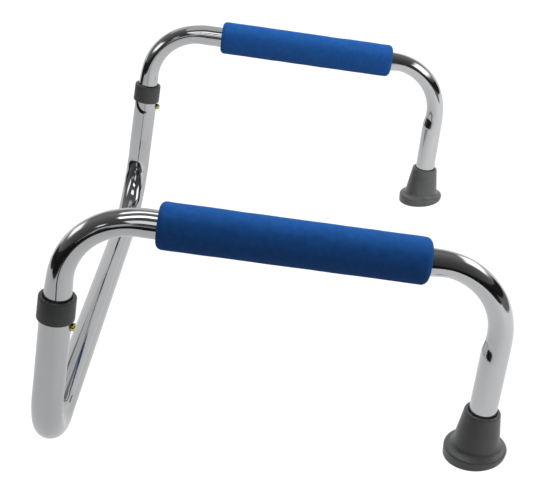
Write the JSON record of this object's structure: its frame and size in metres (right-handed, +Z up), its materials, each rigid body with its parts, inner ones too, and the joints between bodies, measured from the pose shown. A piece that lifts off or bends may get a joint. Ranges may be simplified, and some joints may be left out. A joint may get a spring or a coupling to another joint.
{
  "type": "standing-aid frame",
  "caption": "Low chrome-plated tube frame with a U-shaped floor base, two sloping hand bars with blue foam grips, collars with snap buttons and rubber feet.",
  "frame": {"origin": "on the floor, under the middle of the whole frame", "axes": "+Z up, +X from the crossbar to the rubber feet, +Y to the left-hand grip as seen by a person who faces +X"},
  "size_m": [0.3965, 0.5538, 0.235],
  "materials": {
    "chrome_tube": "polished",
    "blue_foam": "matte",
    "collar_plastic": "matte",
    "button_brass": "polished",
    "spring_steel": "satin",
    "foot_rubber": "matte",
    "washer_steel": "satin"
  },
  "bodies": {
    "base": {"base_frame": "chrome_tube", "right_tube_collar": "collar_plastic", "left_tube_collar": "collar_plastic"},
    "right_handle": {"right_handle_tube": "chrome_tube", "right_foam_grip": "blue_foam", "right_rubber_foot": "foot_rubber", "right_foot_washer": "washer_steel", "right_button_spring": "spring_steel"},
    "right_button": {"right_snap_button": "button_brass"},
    "left_handle": {"left_handle_tube": "chrome_tube", "left_foam_grip": "blue_foam", "left_rubber_foot": "foot_rubber", "left_foot_washer": "washer_steel", "left_button_spring": "spring_steel"},
    "left_button": {"left_snap_button": "button_brass"}
  },
  "joints": [
    {"name": "right_handle_slide", "type": "slide", "parent": "base", "child": "right_handle", "axis": [0.2419, 0, 0.9703], "range_m": [0, 0.06], "deforming": ["right_snap_button"]},
    {"name": "right_button_press", "type": "slide", "parent": "right_handle", "child": "right_button", "axis": [-0.9703, 0, 0.2419], "range_m": [0, 0.006], "stiffness_N_per_m": 3000, "deforming": ["right_button_spring"]},
    {"name": "left_handle_slide", "type": "slide", "parent": "base", "child": "left_handle", "axis": [0.2419, 0, 0.9703], "range_m": [0, 0.06], "deforming": ["left_snap_button"]},
    {"name": "left_button_press", "type": "slide", "parent": "left_handle", "child": "left_button", "axis": [-0.9703, 0, 0.2419], "range_m": [0, 0.006], "stiffness_N_per_m": 3000, "deforming": ["left_button_spring"]}
  ]
}
